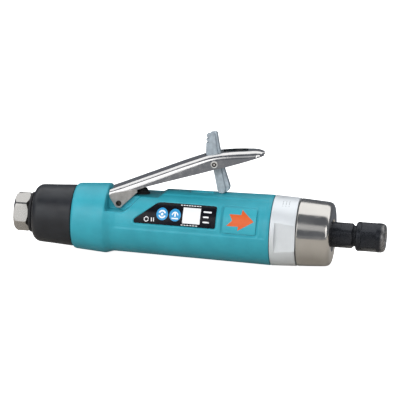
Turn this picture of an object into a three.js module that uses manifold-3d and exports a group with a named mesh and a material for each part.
// Pneumatic straight die grinder: composite grip housing, rear exhaust, safety lever,
// five-vane air motor, steel nose cap and quarter-inch collet. Millimetres, +Z up.
// Inside this file the pieces are laid out about the spindle axis: x runs forward from
// the rear face of the air inlet, z is the height above the axis. The last group lowers
// x to the middle of the tool and lifts z so that the tool rests on z = 0.
import * as THREE from "three";
import { mergeVertices } from "three/addons/utils/BufferGeometryUtils.js";
import Module from "manifold-3d";

const wasm = await Module();
wasm.setup();

// ---- driving dimensions -------------------------------------------------------------

const LENGTH = 204; // inlet rear face to collet nut front face
const AXIS_HEIGHT = 19.2; // largest radius of the housing: the tool rests on it
const GAP = 0.3; // between touching fixed pieces
const RUNNING = 0.1; // radial clearance of a turning or sliding fit
const ROUND = 40; // sides of the outer turned shapes
const INNER_ROUND = 24; // sides of the inner turned shapes
const FINE_ROUND = 16; // sides of pins and small rings

const INLET = {
  acrossFlats: 19,
  turned: 10.65,
  hexEnd: 8.1,
  stub: 7.5,
  stubEnd: 44,
  port: 6.2,
  bore: 4.2,
  portDepth: 14,
  cornerAngle: 38,
};
const COVER = { rear: 10.3, seam: 33.3, rearRadius: 11.3, shoulder: 15.8, mouth: 16.8 };
const GRIP = {
  rear: COVER.seam + GAP,
  waistX: 57,
  waist: 17.8,
  front: 142.8,
  frontRadius: AXIS_HEIGHT,
  bore: 15.5,
  boreStart: 88,
};
const RING = {
  rear: GRIP.front + GAP,
  front: 156.8,
  frontRadius: 18.5,
  sleeve: 15.2,
  sleeveStart: 89,
  bore: 13.6,
  flatStart: 145.5,
  halfAcrossFlats: 17.2,
};
const NOSE = { rear: 157.2, front: 175.3, rearRadius: 18.4, frontRadius: 17.4, hole: 8.1 };

const MOTOR = {
  plateRadius: 13.3,
  rearPlate: [92, 99.6],
  liner: [99.9, 141.9],
  frontPlate: [142.2, 150],
  linerBore: 10.9,
  linerOffset: 1.1,
  rotorRadius: 9.6,
  rotor: [100.2, 141.6],
  slotDepth: 5.2,
  slotWidth: 1.6,
  vaneCount: 5,
  vaneThickness: 1.4,
  shaft: 4,
  shaftRear: 90.5,
  shaftFront: 168.5,
};
const BEARING = { width: 4.6, inner: 4.1, innerRace: 5.05, outerRace: 7.35, outer: 8.4, ball: 1, balls: 7 };
const REAR_BEARING_X = 92.4;
const FRONT_BEARING_X = 145.1;

const COLLET = {
  bodyRadius: 6.85,
  bodyRear: 158.6,
  hexStart: 180,
  hexEnd: 186.6,
  hexAcross: 12.7,
  thread: 6,
  bodyFront: 195.6,
  shank: 3.175,
  rear: 178.4,
  front: 203.7,
};
const NUT = { rear: 188.1, radius: 8, flats: [191, 199.5], acrossFlats: 14.3, hole: 4.25 };

const PIVOT = { x: 58.6, z: 10.7 }; // lever hinge pin
const RIVET = { x: 110.3, z: 35.8 }; // latch hinge rivet
const LEVER = { halfWidth: 8.6, wall: 1.5, earOuter: 10, earInner: 8.3, slotHalf: 3.1 };
const VALVE_X = 69.6; // throttle valve bore, straight down from the top of the grip

// ---- shape helpers --------------------------------------------------------------------

/** A closed three.js geometry as a solid that can be joined and cut. */
function solidOf(geometry) {
  const bare = geometry.clone();
  bare.deleteAttribute("normal");
  bare.deleteAttribute("uv");
  const merged = mergeVertices(bare, 1e-4);
  const corners = merged.index.array;
  const faces = [];
  for (let i = 0; i < corners.length; i += 3) {
    const [a, b, c] = corners.slice(i, i + 3);
    if (a !== b && b !== c && c !== a) faces.push(a, b, c);
  }
  const vertProperties = merged.attributes.position.array;
  const triVerts = new Uint32Array(faces);
  return new wasm.Manifold(new wasm.Mesh({ numProp: 3, vertProperties, triVerts }));
}

/** A solid back as a three.js geometry. */
function geometryOf(solid) {
  const { vertProperties, triVerts } = solid.getMesh();
  const geometry = new THREE.BufferGeometry();
  geometry.setAttribute("position", new THREE.BufferAttribute(vertProperties, 3));
  geometry.setIndex(new THREE.BufferAttribute(triVerts, 1));
  geometry.computeVertexNormals();
  return geometry;
}

const join = (...solids) => solids.reduce((sum, solid) => sum.add(solid));
const cut = (body, ...tools) => tools.reduce((rest, tool) => rest.subtract(tool), body);

/** A solid turned about the x axis from a closed outline of [x, radius] points. */
function turned(outline, sides = ROUND) {
  const ring = outline.map(([x, radius]) => new THREE.Vector2(radius, x));
  if (THREE.ShapeUtils.area(ring) < 0) ring.reverse();
  ring.push(ring[0].clone());
  return solidOf(new THREE.LatheGeometry(ring, sides).rotateZ(-Math.PI / 2));
}

/** A plain ring or, with inner = 0, a plain rod about the x axis. */
function ring(xFrom, xTo, inner, outer, sides = INNER_ROUND) {
  return turned([[xFrom, inner], [xTo, inner], [xTo, outer], [xFrom, outer]], sides);
}

/** A round bar between two points. */
function bar(from, to, radius, sides = FINE_ROUND) {
  const start = new THREE.Vector3(...from);
  const along = new THREE.Vector3(...to).sub(start);
  const geometry = new THREE.CylinderGeometry(radius, radius, along.length(), sides);
  geometry.applyQuaternion(
    new THREE.Quaternion().setFromUnitVectors(new THREE.Vector3(0, 1, 0), along.clone().normalize()),
  );
  const middle = start.addScaledVector(along, 0.5);
  return solidOf(geometry.translate(middle.x, middle.y, middle.z));
}

/** A box given by its ranges along x, y and z. */
function block([x0, x1], [y0, y1], [z0, z1]) {
  const geometry = new THREE.BoxGeometry(x1 - x0, y1 - y0, z1 - z0);
  return solidOf(geometry.translate((x0 + x1) / 2, (y0 + y1) / 2, (z0 + z1) / 2));
}

/** A hexagonal bar along x; corner is the angle of one corner above the -y side. */
function hexBar(xFrom, xTo, acrossFlats, corner = 0) {
  const radius = acrossFlats / Math.sqrt(3);
  const geometry = new THREE.CylinderGeometry(radius, radius, xTo - xFrom, 6);
  geometry.rotateZ(-Math.PI / 2);
  geometry.rotateX(THREE.MathUtils.degToRad(-corner) - Math.PI / 2);
  return solidOf(geometry.translate((xFrom + xTo) / 2, 0, 0));
}

/** A side view outline of [x, z] points, as thick as the given range along y. */
function sideCut(outline, [y0, y1]) {
  const shape = new THREE.Shape(outline.map(([x, z]) => new THREE.Vector2(x, z)));
  const options = { depth: y1 - y0, bevelEnabled: false, curveSegments: 6 };
  const geometry = new THREE.ExtrudeGeometry(shape, options);
  return solidOf(geometry.rotateX(Math.PI / 2).translate(0, y1, 0));
}

/** A top view outline of [x, y] points, as tall as the given range along z. */
function topCut(outline, [z0, z1]) {
  const shape = new THREE.Shape(outline.map(([x, y]) => new THREE.Vector2(x, y)));
  const geometry = new THREE.ExtrudeGeometry(shape, { depth: z1 - z0, bevelEnabled: false });
  return solidOf(geometry.translate(0, 0, z0));
}

/** Points of an arc in a plane, from one angle to another in degrees. */
function arc([cx, cz], radius, from, to, steps) {
  return Array.from({ length: steps + 1 }, (_, i) => {
    const angle = THREE.MathUtils.degToRad(from + ((to - from) * i) / steps);
    return [cx + radius * Math.cos(angle), cz + radius * Math.sin(angle)];
  });
}

/** Round wire along a curve. */
function wire(curve, radius, steps, sides = 6) {
  const section = arc([0, 0], radius, 0, 360 - 360 / sides, sides - 1);
  const shape = new THREE.Shape(section.map(([u, v]) => new THREE.Vector2(u, v)));
  const options = { steps, bevelEnabled: false, extrudePath: curve };
  return solidOf(new THREE.ExtrudeGeometry(shape, options));
}

/** A solid turned about an upright line over the spindle axis, from [z, radius] points. */
function upright(x, outline, sides = FINE_ROUND) {
  const ring = outline.map(([z, radius]) => new THREE.Vector2(radius, z));
  if (THREE.ShapeUtils.area(ring) < 0) ring.reverse();
  ring.push(ring[0].clone());
  return solidOf(new THREE.LatheGeometry(ring, sides).rotateX(Math.PI / 2).translate(x, 0, 0));
}

/** A box standing out from the spindle axis, turned about it by an angle in degrees. */
function spoke([x0, x1], width, [r0, r1], angle) {
  const geometry = new THREE.BoxGeometry(x1 - x0, width, r1 - r0);
  geometry.translate((x0 + x1) / 2, 0, (r0 + r1) / 2);
  return solidOf(geometry.rotateX(THREE.MathUtils.degToRad(angle)));
}

/** Equal turns round the axis, in degrees. */
const turns = (count, first = 0) => Array.from({ length: count }, (_, i) => first + (360 * i) / count);

/** Point on a circle about the spindle axis, by its angle above the -y side. */
function onCircle(x, radius, degrees) {
  const angle = THREE.MathUtils.degToRad(degrees);
  return [x, -radius * Math.cos(angle), radius * Math.sin(angle)];
}

/** An O-ring in a plane across x, or lying level when upright is set. */
function oRing([x, y, z], radius, thickness, level = false) {
  const geometry = new THREE.TorusGeometry(radius, thickness, 6, 16);
  if (!level) geometry.rotateY(Math.PI / 2);
  return solidOf(geometry.translate(x, y, z));
}

/** A coil about a line along z (or along y when sideways is set). */
class Helix extends THREE.Curve {
  constructor(centre, radius, pitch, turns, sideways = false) {
    super();
    Object.assign(this, { centre, radius, pitch, turns, sideways });
  }
  getPoint(t, target = new THREE.Vector3()) {
    const angle = t * this.turns * Math.PI * 2;
    const [u, v] = [this.radius * Math.cos(angle), this.radius * Math.sin(angle)];
    const rise = t * this.turns * this.pitch;
    if (this.sideways) return target.set(u, rise, v).add(this.centre);
    return target.set(u, v, rise).add(this.centre);
  }
}

const finishes = {
  nickel: { color: 0xd8d5d2, roughness: 0.25, metalness: 1 },
  steel: { color: 0xb9b6b1, roughness: 0.3, metalness: 1 },
  polished: { color: 0xd6d2ca, roughness: 0.15, metalness: 1 },
  aluminium: { color: 0xc8d2d8, roughness: 0.45, metalness: 0.9 },
  blackOxide: { color: 0x26282b, roughness: 0.45, metalness: 0.7 },
  zinc: { color: 0x8fa0ab, roughness: 0.5, metalness: 0.7 },
  brass: { color: 0xb8934a, roughness: 0.35, metalness: 1 },
  teal: { color: 0x3f9daa, roughness: 0.45, metalness: 0 },
  black: { color: 0x2a2d31, roughness: 0.5, metalness: 0 },
  rubber: { color: 0x1c1c1e, roughness: 0.8, metalness: 0 },
  felt: { color: 0xb7b1a4, roughness: 0.95, metalness: 0 },
  composite: { color: 0x6b4a32, roughness: 0.7, metalness: 0 },
  orange: { color: 0xe8651f, roughness: 0.4, metalness: 0 },
};

const layout = new THREE.Group();

/** Adds one named piece to the tool. */
function piece(name, finish, solid) {
  const mesh = new THREE.Mesh(geometryOf(solid), new THREE.MeshStandardMaterial(finishes[finish]));
  mesh.name = name;
  layout.add(mesh);
}

// ---- rear end: air inlet, exhaust cover and muffler -----------------------------------

{
  const { hexEnd, turned: turnedRadius, stub, stubEnd, port, bore, portDepth } = INLET;
  const chamfer = 1.1;
  const groove = [38.4, 40.8];
  const blank = turned([
    [0, 0],
    [0, turnedRadius - chamfer],
    [chamfer, turnedRadius],
    [hexEnd, turnedRadius],
    [hexEnd, stub],
    [stubEnd, stub],
    [stubEnd, 0],
  ]);
  const hex = join(
    hexBar(-1, hexEnd, INLET.acrossFlats, INLET.cornerAngle),
    ring(hexEnd - 0.5, stubEnd + 1, 0, stub + 1),
  );
  const bushing = cut(
    blank.intersect(hex),
    ring(-1, portDepth, 0, port),
    ring(portDepth - 1, stubEnd + 1, 0, bore),
    ring(...groove, stub - 1.3, stub + 1),
  );
  piece("inlet_bushing", "nickel", bushing);
  piece("inlet_o_ring", "rubber", oRing([39.6, 0, 0], 6.98, 0.7));

  const screenHoles = turns(6).map((angle) => {
    const [, y, z] = onCircle(0, 3.4, angle);
    return bar([12, y, z], [15, y, z], 0.9, 6);
  });
  piece("inlet_screen", "steel", cut(ring(12.9, 13.7, 0.9, port - GAP), ...screenHoles));

  piece("inlet_gasket", "rubber", ring(hexEnd + GAP, COVER.rear - GAP, stub + GAP, 11));
}

{
  const { rear, seam, rearRadius, shoulder, mouth } = COVER;
  const inside = 14.3;
  const hole = INLET.stub + 0.6;
  const shell = turned([
    [rear, hole],
    [rear, rearRadius],
    ...arc([13.6, rearRadius + 1.2], 3.3, 180, 90, 4).map(([x, r]) => [x, Math.min(r, shoulder)]),
    [seam, mouth],
    [seam, inside],
    [14.2, inside],
    [12.7, inside - 1.6],
    [12.7, hole],
  ]);
  const vents = turns(12).map((angle) =>
    bar(onCircle(rear - 1, 12.6, angle), onCircle(rear + 6, 12.6, angle), 1.1, 6),
  );
  piece("exhaust_cover", "black", cut(shell, ...vents));
  piece("muffler_felt", "felt", ring(14.6, 30.4, hole, inside - 0.6));
}

// ---- grip housing, labels and badges ---------------------------------------------------

/** Radius of the grip's plain taper between the waist and the front. */
const gripRadius = (x) =>
  GRIP.waist + ((GRIP.frontRadius - GRIP.waist) * (x - GRIP.waistX)) / (GRIP.front - GRIP.waistX);

const LABEL = [[68.3, 2.2], [113.6, 2.2], [113.6, 13.3], [80.4, 13.3], [68.3, 4]];
const BADGE = [[116.4, -0.3], [136.4, -0.3], [136.4, 14.6], [116.4, 14.6]];
const RECESS = 0.6;
const SIDES = { left: [-30, -5], right: [5, 30] };

/** A layer that follows the grip's taper, between two depths under its surface. */
function gripLayer(deep, shallow) {
  const [rear, front] = [60, 141];
  return turned([
    [rear, gripRadius(rear) - deep],
    [front, gripRadius(front) - deep],
    [front, gripRadius(front) - shallow],
    [rear, gripRadius(rear) - shallow],
  ]);
}

/** An outline moved in by the same distance on every side, for a convex outline. */
function inset(outline, distance) {
  const middle = outline.reduce(([sx, sz], [x, z]) => [sx + x, sz + z], [0, 0]);
  const [mx, mz] = middle.map((sum) => sum / outline.length);
  const halfWidth = Math.max(...outline.map(([x]) => Math.abs(x - mx)));
  const halfHeight = Math.max(...outline.map(([, z]) => Math.abs(z - mz)));
  const [kx, kz] = [1 - distance / halfWidth, 1 - distance / halfHeight];
  return outline.map(([x, z]) => [mx + (x - mx) * kx, mz + (z - mz) * kz]);
}

{
  const spigot = 14;
  const body = turned([
    [31, 0],
    [31, spigot],
    [GRIP.rear, spigot],
    [GRIP.rear, 17.1],
    [34.4, 17.7],
    [36, 18.1],
    [50, 19.1],
    [51.5, 19],
    [53.2, 18.4],
    [55, 17.95],
    [GRIP.waistX, GRIP.waist],
    [GRIP.front, GRIP.frontRadius],
    [GRIP.front, 0],
  ]);
  const valveFloor = -10.5;
  const airways = [
    ring(30, 45, 0, INLET.stub + GAP),
    bar([44, 0, -3], [VALVE_X, 0, -3], 2.4),
    bar([VALVE_X, 0, valveFloor], [VALVE_X, 0, 25], 4.2),
    bar([VALVE_X, 0, 4], [GRIP.boreStart + 1, 0, 4], 1.9, 12),
    ring(GRIP.boreStart, GRIP.front + 1, 0, GRIP.bore),
    ...[-9.5, 9.5].map((y) => bar([30, y, -8], [GRIP.boreStart + 1, y, -8], 1.9, 12)),
  ];
  const pocketFloor = 15.2;
  const leverPocket = [
    sideCut([[52.4, pocketFloor], [80, pocketFloor], [86, 20], [86, 30], [52.4, 30]], [-25, 25]),
    ...[[-25, -8], [8, 25]].map((range) =>
      sideCut([[52.4, 9.5], [55, 7.4], [61.5, 7.1], [64.5, 8.8], [71, 16], [71, 25], [52.4, 25]], range),
    ),
    bar([PIVOT.x, -25, PIVOT.z], [PIVOT.x, 25, PIVOT.z], 1.6),
  ];
  const surface = gripLayer(RECESS, -2);
  const recesses = [LABEL, BADGE].flatMap((outline) =>
    Object.values(SIDES).map((range) => sideCut(outline, range).intersect(surface)),
  );
  piece("grip_housing", "teal", cut(body, ...airways, ...leverPocket, ...recesses));

  const sheet = gripLayer(RECESS - 0.1, RECESS - 0.4);
  for (const [side, range] of Object.entries(SIDES)) {
    piece(`label_${side}`, "black", sideCut(inset(LABEL, 0.35), range).intersect(sheet));
    piece(`badge_${side}`, "orange", sideCut(inset(BADGE, 0.35), range).intersect(sheet));
  }
}

// ---- throttle valve under the lever ------------------------------------------------------

{
  const bore = 4.2;
  const stem = 2;
  const stroke = 3.17; // how far the lever pushes the plunger down
  piece("valve_plunger", "steel", upright(VALVE_X, [
    [5.4, 0],
    [5.4, stem],
    [20.8, stem],
    [21.8, 1.6],
    [22.4, 0.9],
    [22.6, 0],
  ]));
  piece("valve_bushing", "brass", upright(VALVE_X, [
    [8, stem + RUNNING],
    [8, bore - 0.2],
    [14.8, bore - 0.2],
    [14.8, stem + RUNNING],
  ]));
  piece("plunger_o_ring", "rubber", oRing([VALVE_X, 0, 7], 2.97, 0.85, true));
  piece("valve_seat", "brass", upright(VALVE_X, [[0.2, 2.3], [0.2, 4], [2, 4], [2, 2.3]]));
  piece("throttle_valve", "composite", upright(VALVE_X, [
    [-1.9, 0],
    [-1.9, 3.3],
    [-0.1, 3.3],
    [-0.1, 0.9],
    [5.1, 0.9],
    [5.1, 0],
  ]));
  const coil = { radius: 2.5, wire: 0.35, turns: 5, bottom: -9.9, top: -2.5 };
  const pitch = (coil.top - coil.bottom) / coil.turns;
  if (coil.turns * 2 * coil.wire + stroke > coil.top - coil.bottom) throw new Error("valve spring binds");
  const helix = new Helix(new THREE.Vector3(VALVE_X, 0, coil.bottom), coil.radius, pitch, coil.turns);
  piece("valve_spring", "steel", wire(helix, coil.wire, coil.turns * 10, 5));
}

// ---- safety lever, latch and their pins ---------------------------------------------------

{
  const { halfWidth, wall, earOuter, earInner, slotHalf } = LEVER;
  const roof = [
    [53, 17.5],
    [102.6, 38.9],
    [108.8, 41.2],
    [116.8, 42.4],
    [124.8, 43],
    [131.4, 43.8],
    [136, 43],
  ];
  const wallFoot = [[135.2, 42], [130.2, 39.9], [116.6, 34.6], [110, 32.7], [99.3, 29.2], [53, 15.9]];
  const hollow = [
    [50, 14.5],
    [103.2, 37.3],
    [109.2, 39.6],
    [116.8, 40.8],
    [129.8, 41.5],
    [129.8, 15],
    [50, 5],
  ];
  const plan = (half) => [
    [50, -half],
    [112, -half],
    [129.5, half * -0.74],
    [134.3, half * -0.45],
    [136.2, half * -0.18],
    [136.2, half * 0.18],
    [134.3, half * 0.45],
    [129.5, half * 0.74],
    [112, half],
    [50, half],
  ];
  const outer = sideCut([...roof, ...wallFoot], [-halfWidth, halfWidth]).intersect(
    topCut(plan(halfWidth), [0, 60]),
  );
  const inner = sideCut(hollow, [wall - halfWidth, halfWidth - wall]).intersect(
    topCut(plan(halfWidth - wall), [0, 60]),
  );
  const earOutline = [
    [53, 15.9],
    [54.5, 17.6],
    [66, 22.6],
    [68.4, 19.2],
    ...arc([PIVOT.x, PIVOT.z], 2.6, -20, -160, 5),
  ];
  const ears = [[earInner, earOuter], [-earOuter, -earInner]].map((range) => sideCut(earOutline, range));
  const pinHole = bar([PIVOT.x, -20, PIVOT.z], [PIVOT.x, 20, PIVOT.z], 1.6);
  const rivetHole = bar([RIVET.x, -20, RIVET.z], [RIVET.x, 20, RIVET.z], 1.75);
  const slot = block([103.2, 127.8], [-slotHalf, slotHalf], [36.5, 60]);
  const channel = cut(join(cut(outer, inner), ...ears), slot, pinHole, rivetHole);
  piece("throttle_lever", "polished", channel);

  const pinEnd = earOuter - 0.1;
  const pin = bar([PIVOT.x, -pinEnd, PIVOT.z], [PIVOT.x, pinEnd, PIVOT.z], 1.45);
  piece("lever_pin", "steel", cut(pin, bar([PIVOT.x, -20, PIVOT.z], [PIVOT.x, 20, PIVOT.z], 0.7, 8)));

  const headInside = halfWidth + 0.15;
  const heads = [headInside, -headInside - 0.8].map((y) =>
    bar([RIVET.x, y, RIVET.z], [RIVET.x, y + 0.8, RIVET.z], 2.3),
  );
  const shank = bar([RIVET.x, -headInside - 0.4, RIVET.z], [RIVET.x, headInside + 0.4, RIVET.z], 1.62);
  piece("latch_rivet", "nickel", join(shank, ...heads));

  const latchOutline = [
    [-5.9, 6],
    ...[8.6, 10.6, 12.6].flatMap((z) => [[-5.9, z], [-6.3, z + 0.8], [-5.5, z + 1.6]]),
    [-5.4, 16.3],
    [-2.2, 17.2],
    [-1.1, 16.4],
    [1.2, 7.5],
    [2.6, 2.5],
    [4.5, -1.5],
    [5.1, -5.8],
    [4.8, -10.3],
    [4.17, -11.4],
    [2.38, -13.4],
    [1, -14.3],
    [-0.3, -9],
    [-2, -4],
    [-2.6, -0.5],
    [-5.3, 3],
  ].map(([x, z]) => [RIVET.x + x, RIVET.z + z]);
  piece("safety_latch", "zinc", cut(sideCut(latchOutline, [-2.6, 2.6]), rivetHole));

  const coil = new Helix(new THREE.Vector3(RIVET.x, 3.4, RIVET.z), 2.35, 0.72, 4, true);
  piece("latch_spring", "steel", wire(coil, 0.3, 40, 5));
}

// ---- air motor ------------------------------------------------------------------------------

{
  const { plateRadius, rearPlate, liner, frontPlate, shaft } = MOTOR;
  const shaftHole = shaft + 0.6;
  const pocket = BEARING.outer + GAP;
  const throat = REAR_BEARING_X + BEARING.width + 0.4;
  const portAngles = [60, 90, 120];
  const rear = turned([
    [rearPlate[0], pocket],
    [rearPlate[0], plateRadius],
    [rearPlate[1], plateRadius],
    [rearPlate[1], shaftHole],
    [throat, shaftHole],
    [throat, pocket],
  ], INNER_ROUND);
  const ports = portAngles.map((angle) => bar(onCircle(90, 10.9, angle), onCircle(101, 10.9, angle), 1, 8));
  piece("rear_end_plate", "steel", cut(rear, ...ports));
  piece("front_end_plate", "steel", turned([
    [frontPlate[0], shaftHole],
    [frontPlate[0], plateRadius],
    [frontPlate[1], plateRadius],
    [frontPlate[1], pocket],
    [FRONT_BEARING_X - GAP, pocket],
    [FRONT_BEARING_X - GAP, shaftHole],
  ], INNER_ROUND));

  const bore = bar(
    [liner[0] - 1, 0, MOTOR.linerOffset],
    [liner[1] + 1, 0, MOTOR.linerOffset],
    MOTOR.linerBore,
    INNER_ROUND,
  );
  const exhaustSlots = [106, 116, 126, 136].map((x) => block([x - 3, x + 3], [-3, 3], [-15, -5]));
  piece("cylinder_liner", "steel", cut(ring(...liner, 0, plateRadius), bore, ...exhaustSlots));

  const slots = turns(MOTOR.vaneCount);
  const slotFloor = MOTOR.rotorRadius - MOTOR.slotDepth;
  const rotor = join(
    ring(...MOTOR.rotor, 0, MOTOR.rotorRadius, 30),
    ring(MOTOR.shaftRear, MOTOR.shaftFront, 0, shaft, FINE_ROUND),
  );
  piece("rotor", "steel", cut(rotor, ...slots.map((angle) =>
    spoke([MOTOR.rotor[0] - 1, MOTOR.rotor[1] + 1], MOTOR.slotWidth, [slotFloor, 12], angle),
  )));
  const vaneEnds = [MOTOR.rotor[0] + 0.4, MOTOR.rotor[1] - 0.4];
  slots.forEach((angle, i) => {
    const vane = spoke(vaneEnds, MOTOR.vaneThickness, [slotFloor + 0.3, MOTOR.rotorRadius - 0.3], angle);
    piece(`vane_${i + 1}`, "composite", vane);
  });
}

/** A ball bearing of two races, and one cage that holds the balls. */
function bearing(name, rear) {
  const { width, inner, innerRace, outerRace, outer, ball, balls } = BEARING;
  const front = rear + width;
  const middle = rear + width / 2;
  const pitch = (innerRace + outerRace) / 2;
  piece(`${name}_inner_race`, "steel", ring(rear, front, inner, innerRace, FINE_ROUND));
  piece(`${name}_outer_race`, "steel", ring(rear, front, outerRace, outer));
  const band = ring(middle - 0.5, middle + 0.5, pitch - 0.35, pitch + 0.35, 21);
  const set = turns(balls).map((angle) => {
    const [, y, z] = onCircle(middle, pitch, angle);
    return solidOf(new THREE.SphereGeometry(ball, 6, 4).translate(middle, y, z));
  });
  piece(`${name}_ball_cage`, "brass", join(band, ...set));
}
bearing("rear_bearing", REAR_BEARING_X);
bearing("front_bearing", FRONT_BEARING_X);

// ---- aluminium motor housing and nose cap ---------------------------------------------------

{
  const { rear, front, frontRadius, sleeve, sleeveStart, bore, flatStart, halfAcrossFlats } = RING;
  const counterbore = 150.3;
  const body = turned([
    [sleeveStart, bore],
    [sleeveStart, sleeve],
    [rear, sleeve],
    [rear, AXIS_HEIGHT],
    [front, frontRadius],
    [front, sleeve],
    [counterbore, sleeve],
    [counterbore, bore],
  ]);
  const flats = [[halfAcrossFlats, 30], [-30, -halfAcrossFlats]].map((range) =>
    block([flatStart, front + 1], range, [-20, 20]),
  );
  piece("motor_housing", "aluminium", cut(body, ...flats));

  const spigot = sleeve - GAP;
  const pocket = 9.4;
  const sealHole = 7.2;
  const web = 152.4;
  piece("nose_cap", "nickel", turned([
    [150.7, pocket],
    [150.7, spigot],
    [NOSE.rear, spigot],
    [NOSE.rear, NOSE.rearRadius],
    [NOSE.front - 2, NOSE.frontRadius],
    [NOSE.front - 0.6, NOSE.frontRadius - 0.7],
    [NOSE.front, NOSE.frontRadius - 2],
    [NOSE.front, NOSE.hole],
    [158.2, NOSE.hole],
    [158.2, sealHole],
    [web, sealHole],
    [web, pocket],
  ]));
  piece("nose_seal", "felt", ring(153, 156, MOTOR.shaft + 0.2, sealHole - GAP));

  const washer = new THREE.Shape(arc([0, 0], 8.2, 0, 348, 29).map(([y, z]) => new THREE.Vector2(y, z)));
  washer.holes.push(new THREE.Path(arc([0, 0], 7, 0, 348, 29).map(([y, z]) => new THREE.Vector2(y, z))));
  const flat = new THREE.ExtrudeGeometry(washer, { depth: 0.4, bevelEnabled: false });
  flat.rotateY(Math.PI / 2).translate(150.85, 0, 0);
  const points = flat.attributes.position;
  for (let i = 0; i < points.count; i++) {
    const angle = Math.atan2(points.getZ(i), points.getY(i));
    points.setX(i, points.getX(i) + 0.45 * Math.sin(3 * angle));
  }
  piece("wave_washer", "steel", solidOf(flat));
}

// ---- collet ----------------------------------------------------------------------------------

{
  const { bodyRadius, bodyRear, hexStart, hexEnd, hexAcross, thread, bodyFront, shank } = COLLET;
  const shaftBore = MOTOR.shaft + 0.2;
  const body = turned([
    [bodyRear, shaftBore],
    [bodyRear, bodyRadius],
    [hexEnd - 0.8, bodyRadius],
    [hexEnd, thread],
    [bodyFront, thread],
    [bodyFront, 5.35],
    [178.2, 4.3],
    [178.2, 3.5],
    [169.2, 3.5],
    [169.2, shaftBore],
  ], INNER_ROUND);
  const hexSides = cut(ring(hexStart, hexEnd + 0.1, 0, 12), hexBar(hexStart - 1, hexEnd + 1, hexAcross, 30));
  piece("collet_body", "blackOxide", cut(body, hexSides));

  const jaws = turned([
    [COLLET.rear, shank],
    [COLLET.rear, 4.1],
    [195.4, 5.15],
    [197.6, 5.15],
    [200.6, 4.05],
    [COLLET.front, 4.05],
    [COLLET.front, shank],
  ], 24);
  const slits = turns(3).map((angle) => spoke([184, 206], 0.8, [2, 7], angle));
  piece("collet", "steel", cut(jaws, ...slits));

  const { rear, radius, flats, acrossFlats, hole } = NUT;
  const nut = turned([
    [rear, thread + 0.15],
    [rear, radius - 0.9],
    [rear + 0.9, radius],
    [LENGTH - 2.4, radius],
    [LENGTH - 0.9, radius - 0.5],
    [LENGTH, radius - 1.4],
    [LENGTH, hole],
    [201, hole],
    [197.9, 5.45],
    [197, thread + 0.15],
  ], INNER_ROUND);
  const nutSides = cut(ring(...flats, 0, 12), hexBar(flats[0] - 1, flats[1] + 1, acrossFlats, 30));
  piece("collet_nut", "blackOxide", cut(nut, nutSides));
}

layout.position.set(-LENGTH / 2, 0, AXIS_HEIGHT);
const dieGrinder = new THREE.Group();
dieGrinder.add(layout);
export default dieGrinder;
